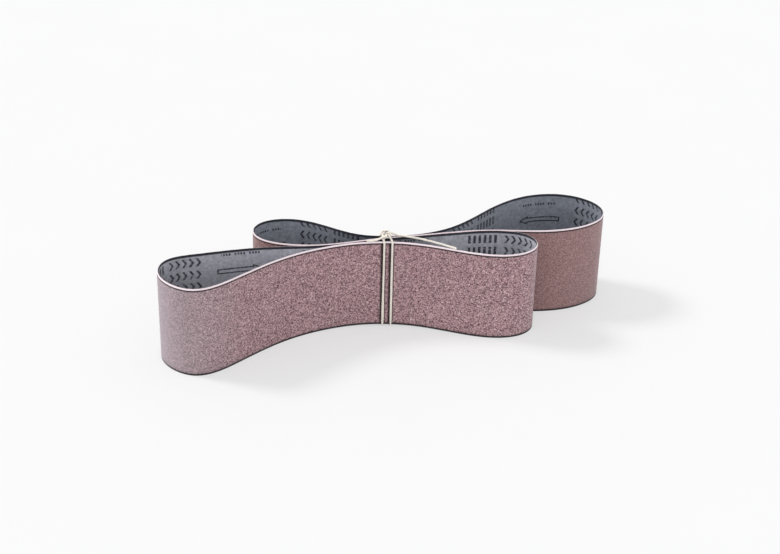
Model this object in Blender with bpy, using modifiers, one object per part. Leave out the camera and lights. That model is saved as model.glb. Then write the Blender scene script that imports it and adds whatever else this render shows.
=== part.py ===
"""Two cloth-backed sanding belts, stood on edge and tied together at the waist with one length of cord.

Each belt is one endless band: a plan curve through a few stations, raised to the belt's width and given the
thickness of the coated cloth. Its two strands meet at the waist, so the band makes a short lobe and a long one.
The rear belt is turned half round against the front belt, and the two share a seam between the inner strands.
The cord goes twice round the four strands and ends in a flat knot of two interlocked bights on the top edges.

Units are metres, +Z is up, X runs along the waist, and the frame stands under the middle of the belts' outline.
"""

import math

import bmesh
import bpy
import numpy as np

# Belts
BELT_WIDTH = 0.100
BELT_LENGTH = 0.915
FRONT_THICKNESS = 0.0013
REAR_THICKNESS = 0.0011
STRAND_GAP = 0.0008
PINCH_OPENING = 0.0004
STATION_LENGTH = 0.915
POINTS_PER_BELT = 168

# Cord
CORD_DIAMETER = 0.0024
CORD_PRESSED = 0.0013
CORD_CLEARANCE = 0.0003
TIE_X = -0.0022
RUN_SPACING_TOP = 0.0082
RUN_SPACING_BOTTOM = 0.0086
RUN_LEAN = 0.0002
KNOT_LEG_GAP = 0.0006
KNOT_SLACK = 0.0015
KNOT_LIFT_IN_CORDS = 1.5
LONG_TAIL_REACH = 0.0660
LONG_TAIL_BOW = 0.0080
SHORT_TAIL_REACH = 0.0220
BEND_LEAD = 0.0020
CORD_SIDES_RESOLUTION = 2
CORD_TURN_PER_POINT = math.radians(26)
CORD_SAG = 0.00020
CORD_LONGEST_STEP = 0.040

# How far down each tail has come, as (share of its way along, share of its height still left)
LONG_TAIL_FALL = ((0.05, 1.0), (0.10, 0.80), (0.17, 0.45), (0.30, 0.26), (0.52, 0.13), (0.78, 0.04))
SHORT_TAIL_FALL = ((0.15, 0.9), (0.33, 0.45), (0.60, 0.08))

# A knot leg, as (share of the knot's reach, share of the weave's height) where it comes in from the runs,
# then as a turn and a share of the reach for each step of its half-turn about the other bight's leg
KNOT_ENTRY = ((-1.60, 0.80), (-1.05, 1.05))
KNOT_TWIST_STEPS = (-2, -1, 0, 1, 2)
KNOT_TWIST_TURN = math.radians(40)
KNOT_TWIST_REACH = 0.25

# Its shoulder and crown, as shares of the outermost spacing, the reach and the weave's height
KNOT_SHOULDER = (0.72, 0.98, 0.95)
KNOT_CROWN = (0.00, 1.16, 1.10)

# Waist
WAIST_RISE_REACH = 0.115

# Sampling
PLAN_SAMPLES_PER_SPAN = 24
ROUTE_SAMPLES_PER_SPAN = 16
GROWTH_HALVINGS = 40

# Stations give a belt's plan as (x, y, strand) at STATION_LENGTH, with the narrowest of the waist at x = 0.
# SEAM stations lie on the line midway between the two inner strands, which both belts follow.
# An OUTER station is held off the inner strand by the cloth's thickness. A LOBE station stands free.
SEAM, OUTER, LOBE = range(3)
SEAM_STATIONS = (
    (-0.076, 0.0060, SEAM),
    (-0.022, 0.0030, SEAM),
    (0.036, 0.0028, SEAM),
    (0.086, 0.0030, SEAM),
)

# The front belt, from the tie round the long left lobe and back round the short right one
FRONT_STATIONS = (
    (0.0000, -0.0044, OUTER),
    (-0.0453, 0.0034, OUTER),
    (-0.1029, -0.0063, OUTER),
    (-0.1699, -0.0440, LOBE),
    (-0.2223, -0.0611, LOBE),
    (-0.2412, -0.0431, LOBE),
    (-0.2472, -0.0099, LOBE),
    (-0.2382, 0.0070, LOBE),
    (-0.2005, 0.0158, LOBE),
    (-0.1380, 0.0158, LOBE),
    *SEAM_STATIONS,
    (0.1245, -0.0027, LOBE),
    (0.1512, -0.0207, LOBE),
    (0.1541, -0.0400, LOBE),
    (0.1401, -0.0569, LOBE),
    (0.1139, -0.0608, LOBE),
    (0.0659, -0.0371, OUTER),
    (0.0282, -0.0149, OUTER),
)

# The rear belt, from the tie round the long right lobe and back round the short left one
REAR_STATIONS = (
    (0.0000, 0.0052, OUTER),
    (0.0398, 0.0038, OUTER),
    (0.0854, 0.0186, OUTER),
    (0.1472, 0.0613, LOBE),
    (0.2010, 0.0765, LOBE),
    (0.2414, 0.0596, LOBE),
    (0.2558, 0.0215, LOBE),
    (0.2475, 0.0030, LOBE),
    (0.2243, -0.0121, LOBE),
    (0.1986, -0.0172, LOBE),
    (0.1658, -0.0139, LOBE),
    (0.1245, -0.0027, LOBE),
    *SEAM_STATIONS[::-1],
    (-0.1131, 0.0190, LOBE),
    (-0.1306, 0.0341, LOBE),
    (-0.1358, 0.0529, LOBE),
    (-0.1261, 0.0712, LOBE),
    (-0.0982, 0.0775, LOBE),
    (-0.0607, 0.0525, OUTER),
    (-0.0268, 0.0164, OUTER),
)

# Colours of the raw materials
COLOURS = {
    "front_belt": (0.32, 0.20, 0.22, 0.85, 0.0),
    "rear_belt": (0.28, 0.16, 0.16, 0.8, 0.0),
    "tie_cord": (0.82, 0.80, 0.72, 0.8, 0.0),
}


def closed_spline(stations, count):
    """Return count points, evenly spaced, on the smooth closed curve through the stations.

    The tangents are solved so that the curvature has no step at a station, as in a bent strip.
    """
    knots = np.asarray(stations, dtype=float)
    total = len(knots)
    following = np.roll(knots, -1, axis=0)
    spans = np.linalg.norm(following - knots, axis=1)
    system = np.zeros((total, total))
    target = np.zeros((total, 2))
    for index in range(total):
        before = index - 1
        after = (index + 1) % total
        left_span = spans[before]
        right_span = spans[index]
        system[index, before] = right_span
        system[index, index] = 2.0 * (left_span + right_span)
        system[index, after] += left_span
        rise_left = (knots[index] - knots[before]) / left_span
        rise_right = (knots[after] - knots[index]) / right_span
        target[index] = 3.0 * (right_span * rise_left + left_span * rise_right)
    tangents = np.linalg.solve(system, target)
    steps = np.linspace(0.0, 1.0, PLAN_SAMPLES_PER_SPAN, endpoint=False)[:, None]
    pieces = []
    for index in range(total):
        after = (index + 1) % total
        span = spans[index]
        pieces.append(
            (1 - steps) ** 2 * (1 + 2 * steps) * knots[index]
            + steps ** 2 * (3 - 2 * steps) * knots[after]
            + steps * (1 - steps) ** 2 * span * tangents[index]
            - steps ** 2 * (1 - steps) * span * tangents[after]
        )
    fine = np.vstack(pieces)
    return even_points(np.vstack([fine, fine[:1]]), count)


def even_points(line, count):
    """Return count points at equal steps along a closed line, whose last point repeats its first."""
    travelled = np.concatenate([[0.0], np.cumsum(np.linalg.norm(np.diff(line, axis=0), axis=1))])
    wanted = np.linspace(0.0, travelled[-1], count, endpoint=False)
    return np.column_stack([np.interp(wanted, travelled, line[:, axis]) for axis in range(2)])


def loop_length(points):
    """Return the length round a closed loop of points."""
    return float(np.linalg.norm(np.roll(points, -1, axis=0) - points, axis=1).sum())


def belt_plan(stations, thickness, side):
    """Return a belt's plan curve. side is -1 for the front belt and 1 for the rear one.

    The seam follows the belts' stock length. The lobes grow about the tie until the loop measures that length.
    What the strands keep between them depends only on the cloth, so it is added after the growth.
    """
    stock = BELT_LENGTH / STATION_LENGTH
    inner_offset = side * (thickness + STRAND_GAP) / 2
    outer_offset = inner_offset + side * (thickness + PINCH_OPENING)
    offsets = {SEAM: inner_offset, LOBE: inner_offset, OUTER: outer_offset}

    def plan(growth):
        placed = []
        for x, y, strand in stations:
            scale = stock if strand == SEAM else growth
            placed.append((x * scale, y * scale + offsets[strand]))
        return closed_spline(placed, POINTS_PER_BELT)

    low, high = 0.5 * stock, 2.0 * stock
    for _ in range(GROWTH_HALVINGS):
        middle = (low + high) / 2
        if loop_length(plan(middle)) < BELT_LENGTH:
            low = middle
        else:
            high = middle
    return plan((low + high) / 2)


def waist_rise(x):
    """Return how far the strands stand above the floor at x, where they ride up over the cord."""
    share = min(abs(x) / WAIST_RISE_REACH, 1.0)
    height = CORD_PRESSED + 2 * CORD_CLEARANCE
    return height * (0.5 + 0.5 * math.cos(math.pi * share)) ** 2


def new_object(name, data, collection):
    """Link a new object with its own material."""
    red, green, blue, roughness, metallic = COLOURS[name]
    material = bpy.data.materials.new(name + "_finish")
    material.use_nodes = True
    shader = material.node_tree.nodes["Principled BSDF"]
    shader.inputs["Base Color"].default_value = (red, green, blue, 1.0)
    shader.inputs["Roughness"].default_value = roughness
    shader.inputs["Metallic"].default_value = metallic
    data.materials.append(material)
    piece = bpy.data.objects.new(name, data)
    collection.objects.link(piece)
    return piece


def build_belt(name, plan, thickness, collection):
    """Raise a plan curve to the belt's width and give the band its thickness."""
    shape = bmesh.new()
    lower = [shape.verts.new((x, y, waist_rise(x))) for x, y in plan]
    edges = [shape.edges.new((vertex, lower[(index + 1) % len(lower)])) for index, vertex in enumerate(lower)]
    raised = bmesh.ops.extrude_edge_only(shape, edges=edges)["geom"]
    upper = [item for item in raised if isinstance(item, bmesh.types.BMVert)]
    bmesh.ops.translate(shape, verts=upper, vec=(0.0, 0.0, BELT_WIDTH))
    bmesh.ops.recalc_face_normals(shape, faces=shape.faces)
    mesh = bpy.data.meshes.new(name)
    shape.to_mesh(mesh)
    shape.free()
    belt = new_object(name, mesh, collection)
    wall = belt.modifiers.new("cloth_thickness", "SOLIDIFY")
    wall.thickness = thickness
    wall.offset = 0.0
    wall.use_even_offset = True
    wall.use_rim = True
    return belt


def strand_point(plan, x, side, clearance):
    """Return the point (x, y) at clearance outside a belt's outer strand, level with x."""
    best = None
    for index, (x0, y0) in enumerate(plan):
        x1, y1 = plan[(index + 1) % len(plan)]
        if min(x0, x1) <= x < max(x0, x1):
            y = y0 + (y1 - y0) * (x - x0) / (x1 - x0)
            stretch = math.hypot(x1 - x0, y1 - y0) / abs(x1 - x0)
            placed = y + side * clearance * stretch
            if best is None or side * placed > side * best:
                best = placed
    return best


def smooth_route(route):
    """Return points read from a smooth curve through the cord's route points, closest where it turns most."""
    knots = np.asarray(route, dtype=float)
    spans = np.linalg.norm(np.diff(knots, axis=0), axis=1)
    tangents = np.zeros_like(knots)
    for index in range(1, len(knots) - 1):
        before = (knots[index] - knots[index - 1]) / spans[index - 1]
        after = (knots[index + 1] - knots[index]) / spans[index]
        weight = spans[index - 1] / (spans[index - 1] + spans[index])
        tangents[index] = before * (1 - weight) + after * weight
    tangents[0] = (knots[1] - knots[0]) / spans[0]
    tangents[-1] = (knots[-1] - knots[-2]) / spans[-1]
    fine = []
    for index, span in enumerate(spans):
        for step in np.linspace(0.0, 1.0, ROUTE_SAMPLES_PER_SPAN, endpoint=False):
            fine.append(
                (1 - step) ** 2 * (1 + 2 * step) * knots[index]
                + step ** 2 * (3 - 2 * step) * knots[index + 1]
                + step * (1 - step) ** 2 * span * tangents[index]
                - step ** 2 * (1 - step) * span * tangents[index + 1]
            )
    fine.append(knots[-1])
    kept = [fine[0]]
    turned = 0.0
    for before, here, after in zip(fine, fine[1:], fine[2:]):
        incoming = here - before
        outgoing = after - here
        cosine = incoming @ outgoing / (np.linalg.norm(incoming) * np.linalg.norm(outgoing))
        turned += math.acos(max(-1.0, min(1.0, cosine)))
        step = np.linalg.norm(here - kept[-1])
        sag = step * turned / 8
        if turned > CORD_TURN_PER_POINT or sag > CORD_SAG or step > CORD_LONGEST_STEP:
            kept.append(here)
            turned = 0.0
    kept.append(fine[-1])
    return kept


def knot_bight(centre, rear):
    """Return one bight of the flat knot, from its standing leg round the crown to its tail leg.

    Each leg of the front bight passes over the rear crown, then half round the rear bight's leg, and its own
    crown passes over the rear legs. The rear bight is the same curve turned end for end, with over made under.
    """
    weave = (CORD_DIAMETER + CORD_CLEARANCE) / 2
    inner = (CORD_DIAMETER + KNOT_LEG_GAP) / 2
    crossing = inner + weave
    outer = inner + 2 * weave
    reach = 2 * weave + KNOT_SLACK
    half = [(inner, along * reach, height * weave) for along, height in KNOT_ENTRY]
    for step in KNOT_TWIST_STEPS:
        turn = KNOT_TWIST_TURN * step
        along = KNOT_TWIST_REACH * step
        half.append((crossing + weave * math.sin(turn), along * reach, -weave * math.cos(turn)))
    half.append(tuple(share * size for share, size in zip(KNOT_SHOULDER, (outer, reach, weave))))
    crown = tuple(share * size for share, size in zip(KNOT_CROWN, (outer, reach, weave)))
    shape = half + [crown] + [(-x, y, z) for x, y, z in reversed(half)]
    turn = -1.0 if rear else 1.0
    return [(centre[0] + turn * x, centre[1] + turn * y, centre[2] + turn * z) for x, y, z in shape]


def edge_bend(x, y, z, side, up):
    """Return the cord's points round one edge of an outer strand, from the face to the edge.

    (y, z) is the corner of the cloth, side is -1 at the front and 1 at the rear, and up is 1 at the top edge.
    A short straight lead on each side keeps the bend at the edge and the runs flat against the cloth.
    """
    face_hold = CORD_DIAMETER / 2 + CORD_CLEARANCE
    edge_hold = face_hold if up > 0 else CORD_PRESSED / 2 + CORD_CLEARANCE
    points = [(x, y + side * face_hold, z - up * BEND_LEAD)]
    for degrees in (0, 45, 90):
        turn = math.radians(degrees)
        points.append((x, y + side * face_hold * math.cos(turn), z + up * edge_hold * math.sin(turn)))
    points.append((x, y - side * BEND_LEAD, z + up * edge_hold))
    return points


def face_run(plan, thickness, side, lower_x, upper_x):
    """Return the cord's run up a face, from under the lower edge to above the upper one."""
    low_face = strand_point(plan, lower_x, side, thickness / 2)
    high_face = strand_point(plan, upper_x, side, thickness / 2)
    low = edge_bend(lower_x, low_face, waist_rise(lower_x), side, -1)[::-1]
    high = edge_bend(upper_x, high_face, waist_rise(upper_x) + BELT_WIDTH, side, 1)
    return low + high


def laid_tail(plan, leave, rest_x, bow, lift_shares):
    """Return a tail that leaves the knot, crosses the top edges in a bow and rests on the front strand's edge."""
    hold = CORD_DIAMETER / 2 + CORD_CLEARANCE
    rest = (rest_x, strand_point(plan, rest_x, -1, 0.0), waist_rise(rest_x) + BELT_WIDTH + hold)
    points = []
    for along, height in lift_shares:
        x = leave[0] + (rest[0] - leave[0]) * along
        y = leave[1] + (rest[1] - leave[1]) * along + bow * math.sin(math.pi * along)
        points.append((x, y, rest[2] + (leave[2] - rest[2]) * height))
    return points + [rest]


def cord_route(front, rear):
    """Return the route of the cord's middle line: tail, knot, two turns round the strands, knot and tail."""
    pitch = CORD_DIAMETER + CORD_CLEARANCE
    over = waist_rise(TIE_X) + BELT_WIDTH + CORD_DIAMETER / 2 + CORD_CLEARANCE
    left_top, right_top = TIE_X - RUN_SPACING_TOP / 2, TIE_X + RUN_SPACING_TOP / 2
    left_low = TIE_X - RUN_LEAN - RUN_SPACING_BOTTOM / 2
    right_low = TIE_X - RUN_LEAN + RUN_SPACING_BOTTOM / 2
    right_front = face_run(front, FRONT_THICKNESS, -1, right_low, right_top)
    right_rear = face_run(rear, REAR_THICKNESS, 1, right_low, right_top)
    left_front = face_run(front, FRONT_THICKNESS, -1, left_low, left_top)
    left_rear = face_run(rear, REAR_THICKNESS, 1, left_low, left_top)
    middle_y = (strand_point(front, TIE_X, -1, 0.0) + strand_point(rear, TIE_X, 1, 0.0)) / 2
    centre = (TIE_X, middle_y, over + KNOT_LIFT_IN_CORDS * pitch)
    front_bight = knot_bight(centre, False)
    rear_bight = knot_bight(centre, True)
    short_tail = laid_tail(front, front_bight[-1], TIE_X - SHORT_TAIL_REACH, 0.0, SHORT_TAIL_FALL)
    long_tail = laid_tail(front, rear_bight[-1], TIE_X + LONG_TAIL_REACH, LONG_TAIL_BOW, LONG_TAIL_FALL)
    start = short_tail[::-1] + front_bight[::-1]
    turns = right_front[::-1] + right_rear + left_front[::-1] + left_rear
    return start + turns + rear_bight + long_tail


def cord_thickness(z):
    """Return the cord's thickness at height z as a share of its diameter: it is pressed thin under the strands."""
    full_height = waist_rise(0.0) + BEND_LEAD
    share = min(max((z - waist_rise(0.0)) / (full_height - waist_rise(0.0)), 0.0), 1.0)
    pressed = CORD_PRESSED / CORD_DIAMETER
    return pressed + (1.0 - pressed) * share


def build_cord(route, collection):
    """Make the cord as a round tube along its route, with closed ends."""
    data = bpy.data.curves.new("tie_cord", "CURVE")
    data.dimensions = "3D"
    data.bevel_depth = CORD_DIAMETER / 2
    data.bevel_resolution = CORD_SIDES_RESOLUTION
    data.use_fill_caps = True
    line = data.splines.new("POLY")
    points = smooth_route(route)
    line.points.add(len(points) - 1)
    for target, point in zip(line.points, points):
        target.co = (point[0], point[1], point[2], 1.0)
        target.radius = cord_thickness(point[2])
    return new_object("tie_cord", data, collection)


def centre_plans(front, rear):
    """Shift both plans so that the frame stands under the middle of their outline."""
    half_front = FRONT_THICKNESS / 2
    half_rear = REAR_THICKNESS / 2
    low = np.minimum(front.min(axis=0) - half_front, rear.min(axis=0) - half_rear)
    high = np.maximum(front.max(axis=0) + half_front, rear.max(axis=0) + half_rear)
    return (low + high) / 2


def main():
    """Build the belts and the cord."""
    for item in list(bpy.data.objects):
        bpy.data.objects.remove(item, do_unlink=True)
    collection = bpy.data.collections.new("sanding_belts")
    bpy.context.scene.collection.children.link(collection)
    front = belt_plan(FRONT_STATIONS, FRONT_THICKNESS, -1)
    rear = belt_plan(REAR_STATIONS, REAR_THICKNESS, 1)
    pieces = [
        build_belt("front_belt", front, FRONT_THICKNESS, collection),
        build_belt("rear_belt", rear, REAR_THICKNESS, collection),
        build_cord(cord_route(front, rear), collection),
    ]
    middle = centre_plans(front, rear)
    for piece in pieces:
        piece.location = (-middle[0], -middle[1], 0.0)


main()
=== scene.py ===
"""Looks of two sanding belts stood on edge and tied at the waist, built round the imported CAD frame.

Each belt is a closed band with a coat of grit outside, a woven backing inside and a pale cut edge on top.
The band, its loose grains and its frayed threads follow the plan of the belt's CAD node. The cord's plies
follow the tube of the cord's CAD node. Sizes are metres, X runs along the waist and Y from front to rear.
"""

from __future__ import annotations

import logging
import math
from dataclasses import dataclass, field, fields
from enum import Enum
from typing import Any

import bpy
import numpy as np
from mathutils import Matrix, Vector


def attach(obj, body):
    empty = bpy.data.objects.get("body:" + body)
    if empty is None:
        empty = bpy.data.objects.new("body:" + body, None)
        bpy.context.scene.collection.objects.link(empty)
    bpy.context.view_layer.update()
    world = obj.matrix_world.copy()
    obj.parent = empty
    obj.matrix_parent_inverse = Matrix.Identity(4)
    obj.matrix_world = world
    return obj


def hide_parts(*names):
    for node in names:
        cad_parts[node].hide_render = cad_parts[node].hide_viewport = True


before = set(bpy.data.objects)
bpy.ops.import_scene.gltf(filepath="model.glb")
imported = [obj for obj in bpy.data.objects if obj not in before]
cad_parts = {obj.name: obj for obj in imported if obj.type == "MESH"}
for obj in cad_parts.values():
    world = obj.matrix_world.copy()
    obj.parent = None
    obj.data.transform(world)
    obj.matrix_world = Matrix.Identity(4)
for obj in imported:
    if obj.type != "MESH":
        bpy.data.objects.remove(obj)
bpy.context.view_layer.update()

BODY = "root"
BELT_WIDTH = 0.100
PHOTO_WIDTH = 780.0
SENSOR_WIDTH = 36.0
GROWTH_MASK = "grows_here"
GRAIN_TONE = "grain_tone"
PLY_ALONG = "ply_along"
PLY_AROUND = "ply_around"
CREVICE = "crevice"
CORD_SHARE = "thickness"
CLOTH_MAP = "cloth"
SCREEN_LEVELS = 255.0
SIZE_SEED_STEP = 7.0
TONE_SEED_STEP = 13.0

log = logging.getLogger("sanding_belts")

Colour = tuple[float, float, float]
Sockets = dict[str | int, Any]


class Side(Enum):
    """Which part of a belt's skin a face belongs to. The value is its material slot on the band."""

    GRIT = 0
    BACKING = 1
    CUT_EDGE = 2


# Node trees


def linear(red: int, green: int, blue: int) -> Colour:
    """Return a colour's linear values from its 8-bit screen values.

    Args:
        red: Red, 0 to 255.
        green: Green, 0 to 255.
        blue: Blue, 0 to 255.

    Returns:
        The linear red, green and blue.
    """
    out = []
    for level in (red, green, blue):
        share = level / SCREEN_LEVELS
        out.append(share / 12.92 if share <= 0.04045 else ((share + 0.055) / 1.055) ** 2.4)
    return (out[0], out[1], out[2])


@dataclass
class Graph:
    """Short calls for the nodes and links of one shader or geometry node tree."""

    tree: bpy.types.NodeTree

    def add(self, kind: str, inputs: Sockets | None = None, **settings: Any) -> bpy.types.Node:
        """Add a node, set its options, and link or set its inputs.

        Args:
            kind: The node's type name.
            inputs: A socket to link or a value to set, for each input's name or index.
            **settings: The node's own options.

        Returns:
            The new node.
        """
        node = self.tree.nodes.new(kind)
        for name, value in settings.items():
            setattr(node, name, value)
        for key, value in (inputs or {}).items():
            socket = node.inputs[key]
            if isinstance(value, bpy.types.NodeSocket):
                self.tree.links.new(value, socket)
            elif isinstance(value, tuple) and len(value) == 3 and socket.type == "RGBA":
                socket.default_value = (*value, 1.0)
            else:
                socket.default_value = value
        return node

    def join(self, socket: Any, end: Any) -> None:
        """Link an output socket to an input socket."""
        self.tree.links.new(socket, end)

    def calc(
        self, operation: str, first: Any, second: Any = 0.0, third: Any = 0.0, clamp: bool = False
    ) -> Any:
        """Return the result socket of one Math node."""
        values = {0: first, 1: second, 2: third}
        return self.add("ShaderNodeMath", values, operation=operation, use_clamp=clamp).outputs[0]

    def times(self, first: Any, second: Any) -> Any:
        """Return the product of two numbers."""
        return self.calc("MULTIPLY", first, second)

    def minus(self, first: Any, second: Any) -> Any:
        """Return the first number less the second."""
        return self.calc("SUBTRACT", first, second)

    def ratio(self, first: Any, second: Any) -> Any:
        """Return the first number over the second."""
        return self.calc("DIVIDE", first, second)

    def size(self, value: Any) -> Any:
        """Return a number without its sign."""
        return self.calc("ABSOLUTE", value)

    def axes(self, vector: Any) -> Any:
        """Return a vector's X, Y and Z sockets."""
        return self.add("ShaderNodeSeparateXYZ", {0: vector}).outputs

    def packed(self, x: Any = 0.0, y: Any = 0.0, z: Any = 0.0) -> Any:
        """Return the vector with these three parts."""
        return self.add("ShaderNodeCombineXYZ", {0: x, 1: y, 2: z}).outputs[0]

    def store(self, shape: Any, name: str, value: Any, domain: str = "POINT") -> Any:
        """Return a geometry with a number stored on it under a name."""
        values = {"Geometry": shape, "Name": name, "Value": value}
        kind = "GeometryNodeStoreNamedAttribute"
        return self.add(kind, values, data_type="FLOAT", domain=domain).outputs[0]

    def attribute(self, name: str) -> Any:
        """Return the value socket of a mesh attribute."""
        return self.add("ShaderNodeAttribute", attribute_name=name).outputs["Fac"]

    def scaled(self, vector: Any, factor: Any) -> Any:
        """Return a vector times a number."""
        return self.add("ShaderNodeVectorMath", {0: vector, "Scale": factor}, operation="SCALE").outputs[0]

    def remap(self, value: Any, low: Any, high: Any, to_low: Any = 0.0, to_high: Any = 1.0) -> Any:
        """Return a value moved from one range to another, held inside the new one."""
        values = {0: value, 1: low, 2: high, 3: to_low, 4: to_high}
        return self.add("ShaderNodeMapRange", values).outputs[0]

    def mixed(self, share: Any, first: Any, second: Any, blend: str = "MIX") -> Any:
        """Return the colour that a Mix node makes of two colours."""
        values = {0: share, 6: first, 7: second}
        return self.add("ShaderNodeMix", values, data_type="RGBA", blend_type=blend).outputs[2]

    def noise(self, vector: Any, scale: Any, detail: float = 2.0, roughness: float = 0.5) -> Any:
        """Return the value socket of a Noise texture."""
        values = {"Vector": vector, "Scale": scale, "Detail": detail, "Roughness": roughness}
        return self.add("ShaderNodeTexNoise", values).outputs["Fac"]


def new_group(
    name: str, kind: str, inputs: dict[str, str], outputs: dict[str, str]
) -> tuple[Graph, Any, Any]:
    """Make a node group with named sockets.

    Args:
        name: The group's name.
        kind: The tree's type name.
        inputs: Socket types by input name.
        outputs: Socket types by output name.

    Returns:
        The group's graph, the sockets that bring its inputs and the sockets that take its outputs.
    """
    tree = bpy.data.node_groups.new(name, kind)
    for direction, labels in (("INPUT", inputs), ("OUTPUT", outputs)):
        for label, socket in labels.items():
            tree.interface.new_socket(label, in_out=direction, socket_type=socket)
    graph = Graph(tree)
    return graph, graph.add("NodeGroupInput").outputs, graph.add("NodeGroupOutput").inputs


def seen_directly(graph: Graph) -> Any:
    """Return 1 for rays that come straight from the camera, or by a mirror or glass."""
    path = graph.add("ShaderNodeLightPath").outputs
    seen = graph.calc("MAXIMUM", path["Is Camera Ray"], path["Is Glossy Ray"])
    return graph.calc("MAXIMUM", seen, path["Is Transmission Ray"])


FLOAT = "NodeSocketFloat"
VECTOR = "NodeSocketVector"
INTEGER = "NodeSocketInt"
GEOMETRY = "NodeSocketGeometry"
MATERIAL = "NodeSocketMaterial"
SHADER_TREE = "ShaderNodeTree"
GEOMETRY_TREE = "GeometryNodeTree"


class Effects:
    """Shader node groups that several finishes share, each built once."""

    def __init__(self) -> None:
        """Build all the groups."""
        self.grit = self._build_grit()
        self.mottle = self._build_mottle()
        self.margin = self._build_margin()
        self.weave = self._build_weave()
        self.run_marks = self._build_run_marks()
        self.fibre = self._build_fibre()
        self.rub = self._build_rub()

    def _build_grit(self) -> bpy.types.NodeTree:
        """Return the group for packed grains: a tone for each grain, rare bright chips and a bump height."""
        inputs = {"Vector": VECTOR, "Grain Size": FLOAT}
        outputs = {"Tone": FLOAT, "Chip": FLOAT, "Height": FLOAT}
        graph, into, out = new_group("packed grit", SHADER_TREE, inputs, outputs)
        grains = graph.scaled(into["Vector"], graph.ratio(1.0, into["Grain Size"]))
        cells = graph.add("ShaderNodeTexVoronoi", {"Vector": grains, "Scale": 1.0})
        parts = graph.add("ShaderNodeSeparateColor", {0: cells.outputs["Color"]})
        clumps = graph.noise(grains, 0.60, 3.0, 0.6)
        crumbs = graph.noise(grains, 1.9, 2.0, 0.6)
        cell_tone = graph.times(parts.outputs[0], 0.62)
        clump_tone = graph.calc("MULTIPLY_ADD", clumps, 0.68, cell_tone)
        tone = graph.calc("MULTIPLY_ADD", crumbs, 0.55, clump_tone)
        graph.join(graph.remap(tone, 0.60, 1.25), out["Tone"])
        graph.join(graph.remap(parts.outputs[1], 0.925, 0.975), out["Chip"])
        dome = graph.calc("SUBTRACT", 1.0, cells.outputs["Distance"], clamp=True)
        graph.join(graph.calc("MULTIPLY_ADD", crumbs, 0.6, dome), out["Height"])
        return graph.tree

    def _build_mottle(self) -> bpy.types.NodeTree:
        """Return the group for slow changes of tone over a surface."""
        inputs = {"Vector": VECTOR, "Patch Size": FLOAT, "Amount": FLOAT}
        graph, into, out = new_group("slow mottle", SHADER_TREE, inputs, {"Tone": FLOAT})
        patches = graph.scaled(into["Vector"], graph.ratio(1.0, into["Patch Size"]))
        value = graph.minus(graph.noise(patches, 1.0, 3.0, 0.55), 0.5)
        swing = graph.times(value, graph.times(into["Amount"], 2.0))
        graph.join(graph.calc("ADD", 1.0, swing), out["Tone"])
        return graph.tree

    def _build_margin(self) -> bpy.types.NodeTree:
        """Return the group for what follows a belt's edges: a painted shade line just below the top and
        painted shade at the foot.
        """
        inputs = {"Vector": VECTOR} | dict.fromkeys(("Across", "Width", "Start", "Line", "Foot"), FLOAT)
        graph, into, out = new_group("edge margin", SHADER_TREE, inputs, {"Line": FLOAT, "Foot": FLOAT})
        wander = graph.minus(graph.noise(into["Vector"], 900.0, 3.0, 0.6), 0.5)
        across = graph.calc("MULTIPLY_ADD", wander, 0.0008, into["Across"])
        inset = graph.minus(into["Width"], across)
        # Line: a painted dark shade line just under the top edge.
        begin = into["Start"]
        end = graph.calc("ADD", begin, into["Line"])
        rising = graph.remap(inset, graph.minus(begin, 0.0003), begin)
        falling = graph.remap(inset, end, graph.calc("ADD", end, 0.0009), 1.0, 0.0)
        graph.join(graph.times(rising, falling), out["Line"])
        # Foot: painted shade where the belt stands on the floor, a dark sole line with a fading haze above
        # it.
        sole = graph.remap(across, 0.0019, 0.0027, 1.0, 0.0)
        haze = graph.remap(across, 0.0, into["Foot"], 0.45, 0.0)
        graph.join(graph.calc("MAXIMUM", sole, haze), out["Foot"])
        return graph.tree

    def _build_weave(self) -> bpy.types.NodeTree:
        """Return the group for a plain weave on a UV map in metres."""
        inputs = {"Vector": VECTOR, "Warp Pitch": FLOAT, "Weft Pitch": FLOAT}
        outputs = {"Height": FLOAT, "Tone": FLOAT}
        graph, into, out = new_group("plain weave", SHADER_TREE, inputs, outputs)
        axes = graph.axes(into["Vector"])
        along = graph.ratio(axes[0], into["Weft Pitch"])
        across = graph.ratio(axes[1], into["Warp Pitch"])
        weft = graph.size(graph.calc("SINE", graph.times(along, math.pi)))
        warp = graph.size(graph.calc("SINE", graph.times(across, math.pi)))
        count = graph.calc("ADD", graph.calc("FLOOR", along), graph.calc("FLOOR", across))
        over = graph.calc("FLOORED_MODULO", count, 2.0)
        under = graph.minus(1.0, over)
        high = graph.calc("MULTIPLY_ADD", over, warp, graph.times(under, weft))
        graph.join(high, out["Height"])
        threads = graph.noise(graph.packed(graph.times(along, 0.06), across), 1.0, 2.0, 0.5)
        graph.join(graph.calc("MULTIPLY_ADD", high, 0.35, threads), out["Tone"])
        return graph.tree

    def _build_run_marks(self) -> bpy.types.NodeTree:
        """Return the group for plain printed marks: chevrons, bars, outlined arrows and dashes in rows."""
        inputs = {"Vector": VECTOR} | dict.fromkeys(("Width", "Repeat", "Phase", "Turn", "Drop"), FLOAT)
        graph, into, out = new_group("running direction marks", SHADER_TREE, inputs, {"Ink": FLOAT})
        axes = graph.axes(into["Vector"])
        along = graph.calc("MULTIPLY_ADD", axes[0], into["Turn"], into["Phase"])
        turns = graph.calc("FRACT", graph.ratio(along, into["Repeat"]))
        place = graph.times(turns, into["Repeat"])
        depth = graph.minus(graph.minus(into["Width"], axes[1]), into["Drop"])

        def below(value: Any, limit: Any) -> Any:
            """Return 1 where a value is under a limit."""
            return graph.calc("LESS_THAN", value, limit)

        def row(pitch: float, first: float) -> Any:
            """Return the distance from the middle of the nearest row."""
            shifted = graph.ratio(graph.minus(depth, first - pitch / 2), pitch)
            return graph.size(graph.times(graph.minus(graph.calc("FRACT", shifted), 0.5), pitch))

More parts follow.
